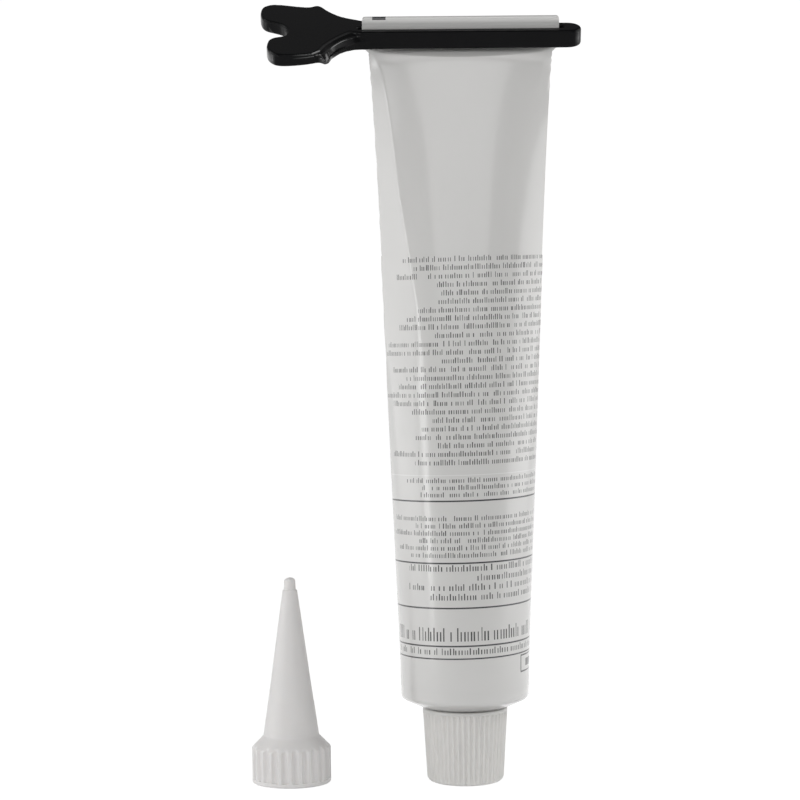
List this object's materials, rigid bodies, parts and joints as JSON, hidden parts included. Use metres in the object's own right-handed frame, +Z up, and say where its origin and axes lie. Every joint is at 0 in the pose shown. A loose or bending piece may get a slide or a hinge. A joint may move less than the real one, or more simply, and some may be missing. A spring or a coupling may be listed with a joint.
{
  "type": "caulk tube",
  "caption": "Collapsible aluminium sealant tube standing on its ribbed screw cap, with a slotted winding key over the crimped end and a loose tapered nozzle.",
  "frame": {"origin": "centre of the cap's flat end, on which the tube stands", "axes": "+Z up the tube towards the crimp, X along the crimp and the key, the crimp leans towards -Y"},
  "size_m": [0.0834, 0.036, 0.1955],
  "materials": {
    "white_lacquer": "satin white lacquer on soft aluminium",
    "label_film": "satin white film with black print",
    "cap_plastic": "satin moulded polyethylene",
    "seal_foam": "closed-cell foam disc",
    "key_plastic": "black moulded plastic, half gloss",
    "nozzle_plastic": "satin moulded polyethylene"
  },
  "bodies": {
    "tube_body": {"tube": "white_lacquer", "label": "label_film", "nozzle": "nozzle_plastic"},
    "seal": {"cap_liner": "seal_foam"},
    "screw_cap": {"cap": "cap_plastic"},
    "winding_key": {"key": "key_plastic"}
  },
  "joints": [
    {"name": "cap_lift", "type": "slide", "parent": "tube_body", "child": "seal", "axis": [0, 0, -1], "range_m": [0, 0.012]},
    {"name": "cap_turn", "type": "hinge", "parent": "seal", "child": "screw_cap", "pos_m": [0, 0, 0], "axis": [0, 0, -1], "range_deg": [0, 1440]},
    {"name": "key_slide", "type": "slide", "parent": "tube_body", "child": "winding_key", "axis": [0, -0.4226, 0.9063], "range_m": [0, 0.009]}
  ],
  "couplings": [
    {"joint": "cap_turn", "follows": "cap_lift", "rad_per_m": 2094.4}
  ]
}
